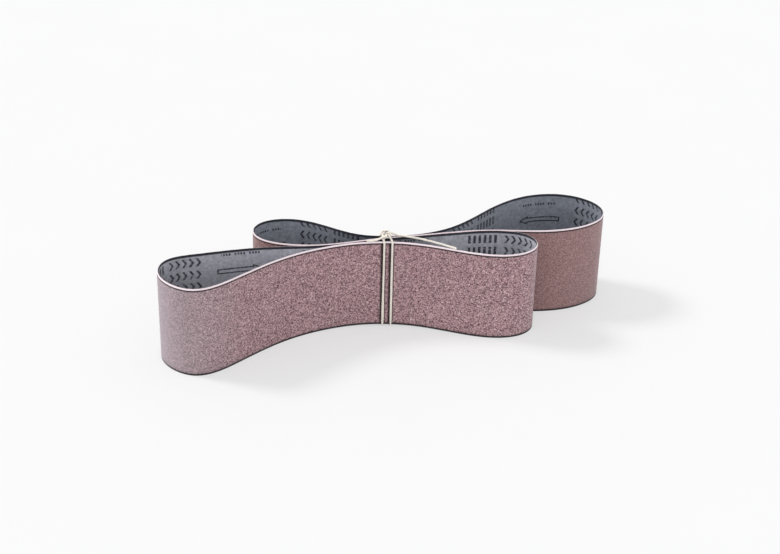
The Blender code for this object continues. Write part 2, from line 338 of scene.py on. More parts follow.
        def within(value: Any, low: float, high: float) -> Any:
            """Return 1 where a value lies between two limits."""
            return graph.times(graph.calc("GREATER_THAN", value, low), below(value, high))

        def both(*masks: Any) -> Any:
            """Return the product of some masks."""
            result = masks[0]
            for mask in masks[1:]:
                result = graph.times(result, mask)
            return result

        def near(value: Any, target: Any, reach: float) -> Any:
            """Return 1 where a value is close to a target."""
            return below(graph.size(graph.minus(value, target)), reach)

        def saw(start: float, pitch: float) -> Any:
            """Return the distance along from the start of each step of a pitch."""
            return graph.times(graph.calc("FRACT", graph.ratio(graph.minus(place, start), pitch)), pitch)

        chevrons_from, chevrons_to, chevron_pitch = 0.0120, 0.0490, 0.0074
        bars_from, bars_to, bar_pitch, bar_width = 0.0560, 0.0900, 0.0058, 0.0030
        arrow_from, neck, shaft_end = 0.1300, 0.0100, 0.0480
        dashes_to, dash_pitch, dash_width, dash_group = 0.1740, 0.0031, 0.0020, 0.0155
        word = row(0.0142, 0.0098)
        in_word = below(word, 0.0048)
        slant = graph.calc("MULTIPLY_ADD", word, 0.70, 0.0018)
        chevron = near(saw(chevrons_from, chevron_pitch), slant, 0.00140)
        sign = row(0.0380, 0.0240)
        back = graph.minus(place, arrow_from)
        ink = both(chevron, in_word, within(place, chevrons_from, chevrons_to))
        shapes = (
            both(below(saw(bars_from, bar_pitch), bar_width), in_word, within(place, bars_from, bars_to)),
            both(near(sign, graph.times(back, 0.42), 0.0010), within(back, 0.0, neck + 0.0008)),
            both(near(back, neck, 0.0008), within(sign, 0.0018, 0.0050)),
            both(near(sign, 0.0023, 0.00080), within(back, neck, shaft_end)),
            both(near(back, shaft_end, 0.0008), below(sign, 0.0031)),
            both(
                below(saw(arrow_from, dash_pitch), dash_width),
                below(row(0.0380, 0.0050), 0.0013),
                within(place, arrow_from, dashes_to),
                graph.calc("GREATER_THAN", saw(arrow_from, dash_group), dash_pitch),
            ),
        )
        for shape in shapes:
            ink = graph.calc("MAXIMUM", ink, shape)
        graph.join(ink, out["Ink"])
        return graph.tree

    def _build_fibre(self) -> bpy.types.NodeTree:
        """Return the group for fine fibres drawn out along one axis of a vector."""
        inputs = {"Vector": VECTOR, "Fibre": FLOAT, "Stretch": FLOAT}
        graph, into, out = new_group("drawn fibres", SHADER_TREE, inputs, {"Tone": FLOAT, "Height": FLOAT})
        axes = graph.axes(into["Vector"])
        slow = graph.ratio(axes[0], into["Stretch"])
        fine = graph.scaled(graph.packed(slow, axes[1], axes[2]), graph.ratio(1.0, into["Fibre"]))
        strands = graph.noise(fine, 1.0, 3.0, 0.6)
        graph.join(graph.remap(strands, 0.3, 0.7), out["Tone"])
        graph.join(strands, out["Height"])
        return graph.tree

    def _build_rub(self) -> bpy.types.NodeTree:
        """Return the group for the painted shade beside two cord runs, standing in for their contact
        shadows, on both sides of each.
        """
        inputs = {"Vector": VECTOR, "Middle": FLOAT, "Half Gap": FLOAT, "Reach": FLOAT}
        graph, into, out = new_group("cord rub", SHADER_TREE, inputs, {"Mark": FLOAT})
        axes = graph.axes(into["Vector"])
        wander = graph.minus(graph.noise(into["Vector"], 700.0, 3.0, 0.6), 0.5)
        spot = graph.calc("MULTIPLY_ADD", wander, 0.0018, axes[0])
        aside = graph.size(graph.minus(spot, into["Middle"]))
        away = graph.size(graph.minus(aside, into["Half Gap"]))
        graph.join(graph.remap(away, 0.0020, into["Reach"], 1.0, 0.0), out["Mark"])
        return graph.tree


@dataclass(frozen=True)
class Gloss:
    """What a finish sets on the shader's own sockets, the same all over the surface."""

    specular: float = 0.25
    sheen: float = 0.0
    sheen_roughness: float = 0.5
    sheen_colour: Colour = (1.0, 1.0, 1.0)
    diffuse_roughness: float = 0.6


class Paint:
    """One material in the making, with its graph, its coordinates and its Principled shader."""

    def __init__(self, name: str, gloss: Gloss) -> None:
        """Start a material.

        Args:
            name: The material's name.
            gloss: The values for the shader's own sockets.
        """
        self.material = bpy.data.materials.new(name)
        self.material.use_nodes = True
        tree = self.material.node_tree
        self.graph = Graph(tree)
        self.shader = tree.nodes["Principled BSDF"]
        self.place = self.graph.add("ShaderNodeTexCoord").outputs["Object"]
        plain = {
            "Specular IOR Level": gloss.specular,
            "Sheen Weight": gloss.sheen,
            "Sheen Roughness": gloss.sheen_roughness,
            "Sheen Tint": (*gloss.sheen_colour, 1.0),
            "Diffuse Roughness": gloss.diffuse_roughness,
        }
        for socket, value in plain.items():
            self.shader.inputs[socket].default_value = value

    def effect(self, group: bpy.types.NodeTree, inputs: Sockets) -> bpy.types.Node:
        """Place a shared effect with this material's own values."""
        return self.graph.add("ShaderNodeGroup", inputs, node_tree=group)

    def mottled(self, effects: Effects, colour: Any, patch_size: float, amount: float) -> Any:
        """Return a colour with patches of a slightly different tone."""
        values = {"Vector": self.place, "Patch Size": patch_size, "Amount": amount}
        tone = self.effect(effects.mottle, values).outputs["Tone"]
        shade = self.graph.add("ShaderNodeCombineColor", {0: tone, 1: tone, 2: tone}).outputs[0]
        return self.graph.mixed(1.0, colour, shade, "MULTIPLY")

    def margin(self, effects: Effects, across: Any, start: float, line: float, foot: float) -> Any:
        """Return the outputs of the effect for a belt's edges.

        Args:
            effects: The shared shader groups.
            across: The socket that gives the height on the cloth.
            start: How far below the top the dark line starts.
            line: How wide the dark line is.
            foot: How high the painted shade at the foot reaches.

        Returns:
            The masks Line and Foot.
        """
        values = {"Vector": self.place, "Across": across, "Width": BELT_WIDTH}
        values |= {"Start": start, "Line": line, "Foot": foot}
        return self.effect(effects.margin, values).outputs

    def surface(self, colour: Any, roughness: Any, height: Any, relief: float) -> bpy.types.Material:
        """Join colour, roughness and relief to the shader.

        Args:
            colour: The base colour's socket.
            roughness: The roughness' socket or value.
            height: The bump's height socket.
            relief: The bump's distance in metres.

        Returns:
            The finished material.
        """
        graph, shader = self.graph, self.shader
        graph.join(colour, shader.inputs["Base Color"])
        if isinstance(roughness, bpy.types.NodeSocket):
            graph.join(roughness, shader.inputs["Roughness"])
        else:
            shader.inputs["Roughness"].default_value = roughness
        bump = graph.add("ShaderNodeBump", {"Strength": 1.0, "Distance": relief, "Height": height})
        graph.join(bump.outputs[0], shader.inputs["Normal"])
        return self.material


# Finishes


@dataclass(frozen=True)
class GritFinish:
    """The coat of grit on a belt's outer face, and the loose grains on it."""

    name: str
    dark: Colour
    light: Colour
    chip: Colour
    # line is the dark colour of the painted shade: under the top edge, at the foot and beside the cord.
    line: Colour
    grain_size: float
    relief: float
    chip_share: float
    mottle: float
    # Painted sheen: a pale grey mixed in along X, thickest towards one end of the belt.
    dust: Colour
    dust_from: float
    dust_to: float
    dust_share: float
    gloss: Gloss
    patch_size: float = 0.045
    line_start: float = 0.0016
    line_width: float = 0.0012
    foot_height: float = 0.0050
    rub_middle: float = -0.0064
    rub_half_gap: float = 0.0042
    rub_reach: float = 0.0034
    crumb_share: float = 0.35

    def coat(self, effects: Effects) -> bpy.types.Material:
        """Return the material of the coat itself."""
        paint = Paint(self.name, self.gloss)
        graph = paint.graph
        grit = paint.effect(effects.grit, {"Vector": paint.place, "Grain Size": self.grain_size}).outputs
        across = graph.axes(graph.add("ShaderNodeUVMap", uv_map=CLOTH_MAP).outputs[0])[1]
        margin = paint.margin(effects, across, self.line_start, self.line_width, self.foot_height)
        colour = graph.mixed(grit["Tone"], self.dark, self.light)
        colour = graph.mixed(graph.times(grit["Chip"], self.chip_share), colour, self.chip)
        colour = paint.mottled(effects, colour, self.patch_size, self.mottle)
        # Painted sheen: the coat turns paler and greyer towards one end of the belt.
        colour = self.dusted(paint, colour)
        # Painted shade: a dark line just under the top edge.
        colour = graph.mixed(graph.times(margin["Line"], 0.92), colour, self.line)
        # Painted shade at the foot, where the belt meets the floor.
        colour = graph.mixed(margin["Foot"], colour, self.line)
        # Painted shade on the coat beside each of the cord's two runs, for the cord's contact shadow.
        values = {"Vector": paint.place, "Middle": self.rub_middle}
        values |= {"Half Gap": self.rub_half_gap, "Reach": self.rub_reach}
        rub = paint.effect(effects.rub, values).outputs["Mark"]
        colour = graph.mixed(graph.times(rub, 0.97), colour, self.line)
        roughness = graph.remap(grit["Tone"], 0.0, 1.0, 0.92, 0.68)
        return paint.surface(colour, roughness, grit["Height"], self.relief)

    def dusted(self, paint: Paint, colour: Any) -> Any:
        """Return the coat's colour with a painted sheen, a pale grey that grows towards one end of the belt.
        """
        graph = paint.graph
        along = graph.axes(paint.place)[0]
        settled = graph.remap(along, self.dust_from, self.dust_to, 0.0, self.dust_share)
        return graph.mixed(settled, colour, self.dust)

    def grains(self, effects: Effects) -> bpy.types.Material:
        """Return the material of the grains that stand proud of the coat."""
        paint = Paint(self.name + "_grains", self.gloss)
        graph = paint.graph
        tone = graph.attribute(GRAIN_TONE)
        values = {"Vector": paint.place, "Grain Size": self.grain_size * self.crumb_share}
        grit = paint.effect(effects.grit, values)
        colour = graph.mixed(graph.calc("MULTIPLY_ADD", tone, 1.1, -0.05), self.dark, self.light)
        chips = graph.times(graph.remap(tone, 0.90, 0.97), self.chip_share)
        colour = graph.mixed(chips, colour, self.chip)
        colour = graph.mixed(graph.times(grit.outputs["Tone"], 0.35), colour, self.light)
        # Painted sheen, as on the coat.
        colour = self.dusted(paint, colour)
        roughness = graph.remap(tone, 0.0, 1.0, 0.85, 0.45)
        return paint.surface(colour, roughness, grit.outputs["Height"], self.relief * 0.4)


@dataclass(frozen=True)
class BackingFinish:
    """The woven cloth inside a belt, with its plain running-direction marks and painted shade."""

    name: str
    cloth: Colour
    thread: Colour
    ink: Colour
    ink_strength: float
    turn: float
    phase: float
    drop: float
    depth_shade: float
    pinch_shade: float
    pinch_reach: float
    gloss: Gloss
    scuffing: float = 0.55
    scuff_size: float = 0.0036
    patch_size: float = 0.030
    warp_pitch: float = 0.00062
    weft_pitch: float = 0.00081
    line_width: float = 0.0024
    foot_height: float = 0.0080
    sunk_depths: tuple[float, float] = (0.036, 0.008)
    repeat: float = 0.1830

    def material(self, effects: Effects) -> bpy.types.Material:
        """Return the backing's material."""
        paint = Paint(self.name, self.gloss)
        graph = paint.graph
        cloth_map = graph.add("ShaderNodeUVMap", uv_map=CLOTH_MAP).outputs[0]
        values = {"Vector": cloth_map, "Warp Pitch": self.warp_pitch, "Weft Pitch": self.weft_pitch}
        weave = paint.effect(effects.weave, values).outputs
        values = {"Vector": cloth_map, "Width": BELT_WIDTH, "Repeat": self.repeat}
        values |= {"Phase": self.phase, "Turn": self.turn, "Drop": self.drop}
        marks = paint.effect(effects.run_marks, values)
        across = graph.axes(cloth_map)[1]
        margin = paint.margin(effects, across, 0.0, self.line_width, self.foot_height)
        colour = graph.mixed(graph.remap(weave["Tone"], 0.35, 1.05), self.cloth, self.thread)
        colour = paint.mottled(effects, colour, self.patch_size, 0.10)
        colour = paint.mottled(effects, colour, self.scuff_size, self.scuffing)
        worn = graph.remap(graph.noise(paint.place, 420.0, 3.0, 0.6), 0.22, 0.50)
        inked = graph.times(graph.times(marks.outputs["Ink"], worn), self.ink_strength)
        colour = graph.mixed(inked, colour, self.ink)
        # Painted shade, in the ink colour, growing deeper down the backing's inside.
        low, high = (BELT_WIDTH - depth for depth in self.sunk_depths)
        colour = graph.mixed(graph.remap(across, low, high, self.depth_shade, 0.0), colour, self.ink)
        # Painted shade, in the ink colour, on the backing near the waist where the strands nearly touch.
        beside = graph.size(graph.axes(paint.place)[0])
        pinched = graph.remap(beside, self.pinch_reach / 3, self.pinch_reach, self.pinch_shade, 0.0)
        colour = graph.mixed(pinched, colour, self.ink)
        # Painted shade: a dark line just under the backing's top edge.
        colour = graph.mixed(graph.times(margin["Line"], 0.95), colour, self.ink)
        # Painted shade at the foot of the backing.
        colour = graph.mixed(graph.times(margin["Foot"], 0.30), colour, self.ink)
        roughness = graph.remap(weave["Height"], 0.0, 1.0, 0.95, 0.80)
        return paint.surface(colour, roughness, weave["Height"], 0.00012)


@dataclass(frozen=True)
class CutEdgeFinish:
    """The cut edge of the coated cloth, and the threads that stand out of it."""

    name: str
    cloth: Colour
    glue: Colour
    gloss: Gloss

    def material(self, effects: Effects) -> bpy.types.Material:
        """Return the cut edge's material."""
        paint = Paint(self.name, self.gloss)
        graph = paint.graph
        fibre = paint.effect(effects.fibre, {"Vector": paint.place, "Fibre": 0.00035, "Stretch": 2.5})
        flecks = graph.remap(graph.noise(paint.place, 1500.0, 2.0, 0.6), 0.56, 0.72)
        colour = graph.mixed(graph.times(flecks, 0.55), self.cloth, self.glue)
        colour = graph.mixed(graph.times(fibre.outputs["Tone"], 0.18), colour, self.glue)
        return paint.surface(colour, 0.9, fibre.outputs["Height"], 0.00010)


@dataclass(frozen=True)
class CordFinish:
    """The twisted cotton of the tie cord."""

    name: str
    cotton: Colour
    shade: Colour
    grime: Colour
    gloss: Gloss
    ply_reach: float = 0.0006

    def material(self, effects: Effects) -> bpy.types.Material:
        """Return the cord's material, with fibres drawn along each ply."""
        paint = Paint(self.name, self.gloss)
        graph = paint.graph
        along = graph.attribute(PLY_ALONG)
        around = graph.attribute(PLY_AROUND)
        turn = graph.times(around, math.tau)
        ring_x = graph.times(graph.calc("COSINE", turn), self.ply_reach)
        ring_y = graph.times(graph.calc("SINE", turn), self.ply_reach)
        skin = graph.packed(along, ring_x, ring_y)
        fibre = paint.effect(effects.fibre, {"Vector": skin, "Fibre": 0.00022, "Stretch": 9.0})
        colour = graph.mixed(graph.times(fibre.outputs["Tone"], 0.8), self.cotton, self.shade)
        colour = paint.mottled(effects, colour, 0.008, 0.08)
        # Painted shade in the crevices where stretches of the cord lie against each other.
        crevice = graph.attribute(CREVICE)
        colour = graph.mixed(graph.times(crevice, 0.9), colour, self.grime)
        return paint.surface(colour, 0.85, fibre.outputs["Height"], 0.00008)


# What the CAD nodes say


def mesh_arrays(mesh: bpy.types.Mesh) -> tuple[np.ndarray, np.ndarray]:
    """Return a mesh's vertices, and the vertex numbers of its triangles."""
    mesh.calc_loop_triangles()
    flat = np.empty(len(mesh.vertices) * 3)
    mesh.vertices.foreach_get("co", flat)
    corners = np.empty(len(mesh.loop_triangles) * 3, dtype=np.int32)
    mesh.loop_triangles.foreach_get("vertices", corners)
    return flat.reshape(-1, 3), corners.reshape(-1, 3)


def travelled(line: np.ndarray) -> np.ndarray:
    """Return the length along a line of points up to each of them."""
    return np.concatenate([[0.0], np.cumsum(np.linalg.norm(np.diff(line, axis=0), axis=1))])


class NodeShape:
    """A CAD node's mesh with its loose triangles joined at their corners."""

    MERGE = 1e-6
    RUNG_LIMIT = 0.0025
    LEAST_STEP = 0.0006
    DOWNWARD = -0.9
    SAME_PLANE = 0.9999
    ROUND_ENOUGH = 0.1
    LEAST_CORNERS = 6
    STRAY_LIMIT = 2.0

    def __init__(self, node: str) -> None:
        """Read the node's mesh.

        Args:
            node: The CAD node's name.
        """
        points, corners = mesh_arrays(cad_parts[node].data)
        keys = np.round(points / self.MERGE).astype(np.int64)
        _, first, inverse = np.unique(keys, axis=0, return_index=True, return_inverse=True)
        self.points = points[first]
        self.triangles = inverse.reshape(-1)[corners]
        a, b, c = (self.points[self.triangles[:, k]] for k in range(3))
        cross = np.cross(b - a, c - a)
        self.normals = cross / np.maximum(np.linalg.norm(cross, axis=1, keepdims=True), 1e-15)

    def _edges(self, chosen: np.ndarray) -> dict[tuple[int, int], list[int]]:
        """Return the edges of some triangles, each with the triangles that it belongs to."""
        found: dict[tuple[int, int], list[int]] = {}
        for index in np.flatnonzero(chosen):
            triangle = self.triangles[index]
            for first, second in ((0, 1), (1, 2), (2, 0)):
                low, high = sorted((int(triangle[first]), int(triangle[second])))
                found.setdefault((low, high), []).append(int(index))
        return found

    def band_line(self) -> np.ndarray:
        """Return the middle line of a band's lower edge, as ordered points that close on the first."""
        rungs: list[tuple[int, int]] = []
        rails: list[tuple[int, int]] = []
        for first, second in sorted(self._edges(self.normals[:, 2] < self.DOWNWARD)):
            length = np.linalg.norm(self.points[first] - self.points[second])
            (rungs if length < self.RUNG_LIMIT else rails).append((first, second))
        rung_of = {vertex: index for index, pair in enumerate(rungs) for vertex in pair}
        neighbours: list[set[int]] = [set() for _ in rungs]
        for first, second in rails:
            one, other = rung_of[first], rung_of[second]
            neighbours[one].add(other)
            neighbours[other].add(one)
        order = [0]
        while True:
            onward = sorted(neighbours[order[-1]] - set(order[-2:]))
            if not onward or onward[0] == order[0]:
                break
            order.append(onward[0])
        return np.array([(self.points[rungs[i][0]] + self.points[rungs[i][1]]) / 2 for i in order])

    def _end_cap(self) -> set[int]:
        """Return the vertices of the tube's end cap nearest to +X."""
        across: dict[int, set[int]] = {}
        for pair in self._edges(np.ones(len(self.triangles), dtype=bool)).values():
            for one in pair:
                across.setdefault(one, set()).update(pair)
        tip = int(np.argmax(self.points[:, 0]))
        for start in np.flatnonzero((self.triangles == tip).any(axis=1)):
            region, waiting = {int(start)}, [int(start)]
            while waiting:
                for other in across[waiting.pop()]:
                    flat = self.normals[other] @ self.normals[start] > self.SAME_PLANE
                    if flat and other not in region:
                        region.add(other)
                        waiting.append(other)
            cap = {int(v) for index in region for v in self.triangles[index]}
            ring = self.points[sorted(cap)]
            reach = np.linalg.norm(ring - ring.mean(axis=0), axis=1)
            if len(cap) >= self.LEAST_CORNERS and np.ptp(reach) < self.ROUND_ENOUGH * reach.mean():
                return cap
        raise ValueError("the cord's CAD node has no round end cap at +X")

    def _rings(self) -> list[np.ndarray]:
        """Return the tube's rings of vertices, from its +X end to the other."""
        linked: list[set[int]] = [set() for _ in self.points]
        for first, second in self._edges(np.ones(len(self.triangles), dtype=bool)):
            linked[first].add(second)
            linked[second].add(first)
        ring = self._end_cap()
        seen = set(ring)
        rings = []
        while ring:
            rings.append(np.array(sorted(ring)))
            ring = set().union(*(linked[vertex] for vertex in ring)) - seen
            seen |= ring
        return rings

    def tube_line(self) -> tuple[np.ndarray, np.ndarray]:
        """Find a tube's middle line, which each vertex gives by its normal and the tube's radius.

        Returns:
            The centres and radii of the tube's rings, from its +X end to the other.
        """
        normals = np.zeros_like(self.points)
        for corner in range(3):
            np.add.at(normals, self.triangles[:, corner], self.normals)
        normals /= np.maximum(np.linalg.norm(normals, axis=1, keepdims=True), 1e-12)
        rings = self._rings()
        middles = [self.points[ring].mean(axis=0) for ring in rings]
        reaches = [np.linalg.norm(self.points[r] - m, axis=1) for r, m in zip(rings, middles)]
        spread = np.array([np.median(reach) for reach in reaches])
        held = np.pad(np.minimum(spread, np.median(spread)), 2, mode="edge")
        radii = np.median(np.stack([held[k : k + len(rings)] for k in range(5)]), axis=0)
        centres = [middles[0]]
        kept = [0]
        for index in range(1, len(rings) - 1):
            votes = self.points[rings[index]] - radii[index] * normals[rings[index]]
            away = np.linalg.norm(votes - np.median(votes, axis=0), axis=1)
            centre = votes[away <= self.STRAY_LIMIT * np.median(away)].mean(axis=0)
            if np.linalg.norm(centre - centres[-1]) > self.LEAST_STEP:
                centres.append(centre)
                kept.append(index)
        centres.append(middles[-1])
        return np.array(centres), radii[[*kept, len(rings) - 1]]


def smooth_line(points: np.ndarray, closed: bool, samples: int) -> np.ndarray:
    """Return a smooth curve through points, by centripetal Catmull-Rom spans.

    Args:
        points: The points, any number of columns. The first three columns are the place.
        closed: Whether the curve closes on its first point.
        samples: How many samples each span gets.

    Returns:
        The samples in order. A closed curve's last sample isn't its first again.
    """
    count = len(points)
    if closed:
        padded = np.vstack([points[-1:], points, points[:2]])
        spans = count
    else:
        padded = np.vstack([2 * points[:1] - points[1:2], points, 2 * points[-1:] - points[-2:-1]])
        spans = count - 1
    out = []
    for index in range(spans):
        p0, p1, p2, p3 = padded[index : index + 4]
        gaps = [np.linalg.norm((q - p)[:3]) ** 0.5 for p, q in ((p0, p1), (p1, p2), (p2, p3))]
        t1 = gaps[0]
        t2 = t1 + gaps[1]
        t3 = t2 + gaps[2]
        for t in np.linspace(t1, t2, samples, endpoint=False):
            a1 = (t1 - t) / t1 * p0 + t / t1 * p1
            a2 = (t2 - t) / (t2 - t1) * p1 + (t - t1) / (t2 - t1) * p2
            a3 = (t3 - t) / (t3 - t2) * p2 + (t - t2) / (t3 - t2) * p3
            b1 = (t2 - t) / t2 * a1 + t / t2 * a2
            b2 = (t3 - t) / (t3 - t1) * a2 + (t - t1) / (t3 - t1) * a3
            out.append((t2 - t) / (t2 - t1) * b1 + (t - t1) / (t2 - t1) * b2)
    if not closed:
        out.append(points[-1])
    return np.array(out)


def spaced(line: np.ndarray, count: int) -> tuple[np.ndarray, float]:
    """Return count points at equal steps round a closed line, and the line's length."""
    ring = np.vstack([line, line[:1]])
    known = travelled(ring)
    wanted = np.linspace(0.0, known[-1], count, endpoint=False)
    places = np.column_stack([np.interp(wanted, known, ring[:, k]) for k in range(3)])
    return places, float(known[-1])


# Pieces


def new_piece(name: str, mesh: bpy.types.Mesh) -> bpy.types.Object:
    """Link a new object that holds a mesh."""
    piece = bpy.data.objects.new(name, mesh)
    bpy.context.scene.collection.objects.link(piece)
    return piece


def face_outward(mesh: bpy.types.Mesh) -> None:
    """Turn a closed mesh's faces round if they point inwards."""
    points, triangles = mesh_arrays(mesh)
    a, b, c = (points[triangles[:, k]] for k in range(3))
    if float(np.einsum("ij,ij->i", a, np.cross(b, c)).sum()) < 0.0:
        mesh.flip_normals()


def report(piece: bpy.types.Object) -> None:
    """Log a finished piece's name and triangle count."""
    piece.data.calc_loop_triangles()
    log.info("%s: %d triangles", piece.name, len(piece.data.loop_triangles))


def grown(
    name: str, base: bpy.types.Object, tree: bpy.types.NodeTree, values: dict[str, Any]
) -> bpy.types.Object:
    """Run a Geometry Nodes tree on a base object and keep its result as a plain mesh.

    Args:
        name: The new piece's name.
        base: The object that the tree reads. It is left as it was.
        tree: The Geometry Nodes tree.
        values: A value for each of the tree's named inputs.

    Returns:
        The new piece, at the origin.
    """
    carrier = new_piece(name + "_carrier", base.data.copy())
    modifier = carrier.modifiers.new("nodes", "NODES")
    modifier.node_group = tree
    for item in tree.interface.items_tree:
        if item.item_type == "SOCKET" and item.in_out == "INPUT" and item.name in values:
            modifier[item.identifier] = values[item.name]
    graph = bpy.context.evaluated_depsgraph_get()
    mesh = bpy.data.meshes.new_from_object(carrier.evaluated_get(graph), depsgraph=graph)
    bpy.data.objects.remove(carrier)
    mesh.name = name
    return new_piece(name, mesh)


def dressed_tree(graph: Graph, shape: Any, smooth: bool, finish: Any, out: Any) -> bpy.types.NodeTree:
    """Make a tree's shape real, set its shading and material, and end the tree with it.

    Args:
        graph: The tree's graph.
        shape: The socket that gives the shape.
        smooth: Whether its faces are shaded smooth.
        finish: The socket that gives its material.
        out: The sockets that take the tree's outputs.

    Returns:
        The finished tree.
    """
    real = graph.add("GeometryNodeRealizeInstances", {"Geometry": shape})
    values = {"Geometry": real.outputs[0], "Shade Smooth": smooth}
    shaded = graph.add("GeometryNodeSetShadeSmooth", values)
    values = {"Geometry": shaded.outputs[0], "Material": finish}
    graph.join(graph.add("GeometryNodeSetMaterial", values).outputs[0], out["Geometry"])
    return graph.tree


def build_scatter_tree() -> bpy.types.NodeTree:
    """Return the tree that scatters small closed cones over the marked faces of a mesh.

    Returns:
        A tree with inputs for density, seed, the cone's sides and size, its tilt, and its material.
    """
    sizes = ("Density", "Radius", "Point Radius", "Height", "Sink", "Tilt", "Least", "Most")
    inputs = {"Geometry": GEOMETRY, "Seed": INTEGER, "Sides": INTEGER, "Finish": MATERIAL}
    inputs |= dict.fromkeys(sizes, FLOAT)
    graph, given, out = new_group("scattered points", GEOMETRY_TREE, inputs, {"Geometry": GEOMETRY})
    marked = graph.add("GeometryNodeInputNamedAttribute", {"Name": GROWTH_MASK}, data_type="BOOLEAN")
    spots = graph.add(
        "GeometryNodeDistributePointsOnFaces",
        {
            "Mesh": given["Geometry"],
            "Selection": marked.outputs["Attribute"],
            "Density": given["Density"],
            "Seed": given["Seed"],
        },
        distribute_method="RANDOM",
    )
    cone = graph.add(
        "GeometryNodeMeshCone",
        {
            "Vertices": given["Sides"],
            "Radius Top": given["Point Radius"],
            "Radius Bottom": given["Radius"],
            "Depth": given["Height"],
        },
        fill_type="NGON",
    )
    seated = graph.add(
        "GeometryNodeTransform",
        {"Geometry": cone.outputs["Mesh"], "Translation": graph.packed(z=graph.times(given["Sink"], -1.0))},
    )
    lean = graph.packed(given["Tilt"], given["Tilt"], math.pi)
    turn = graph.add(
        "FunctionNodeRandomValue",
        {0: graph.scaled(lean, -1.0), 1: lean, "Seed": given["Seed"]},
        data_type="FLOAT_VECTOR",
    )
    turned = graph.add(
        "FunctionNodeRotateRotation",
        {
            "Rotation": spots.outputs["Rotation"],
            "Rotate By": graph.add("FunctionNodeEulerToRotation", {0: turn.outputs[0]}).outputs[0],
        },
        rotation_space="LOCAL",
    )
    least, most = (graph.packed(given[end], given[end], given[end]) for end in ("Least", "Most"))
    size = graph.add(
        "FunctionNodeRandomValue",
        {0: least, 1: most, "Seed": graph.calc("ADD", given["Seed"], SIZE_SEED_STEP)},
        data_type="FLOAT_VECTOR",
    )
    placed = graph.add(
        "GeometryNodeInstanceOnPoints",
        {
            "Points": spots.outputs["Points"],
            "Instance": seated.outputs["Geometry"],
            "Rotation": turned.outputs[0],
            "Scale": size.outputs[0],
        },
    )
    tone_seed = graph.calc("ADD", given["Seed"], TONE_SEED_STEP)
    tone = graph.add("FunctionNodeRandomValue", {2: 0.0, 3: 1.0, "Seed": tone_seed})
    named = graph.store(placed.outputs[0], GRAIN_TONE, tone.outputs[1], "INSTANCE")
    return dressed_tree(graph, named, False, given["Finish"], out)


@dataclass(frozen=True)
class Scatter:
    """One lot of small cones over a surface: grains, frayed threads or cord fuzz."""

    name: str
    density: float
    seed: int
    radius: float
    point_radius: float
    height: float
    sink: float
    tilt: float
    least: float
    most: float = 1.0
    sides: int = 3

    def grow(
        self, base: bpy.types.Object, tree: bpy.types.NodeTree, finish: bpy.types.Material
    ) -> bpy.types.Object:
        """Scatter the cones over a piece's marked faces.

        Args:
            base: The piece that they grow on.
            tree: The scatter tree.
            finish: Their material.

        Returns:
            The new piece.
        """
        values = {item.name.replace("_", " ").title(): getattr(self, item.name) for item in fields(self)}
        values["Finish"] = finish
        return grown(self.name, base, tree, values)


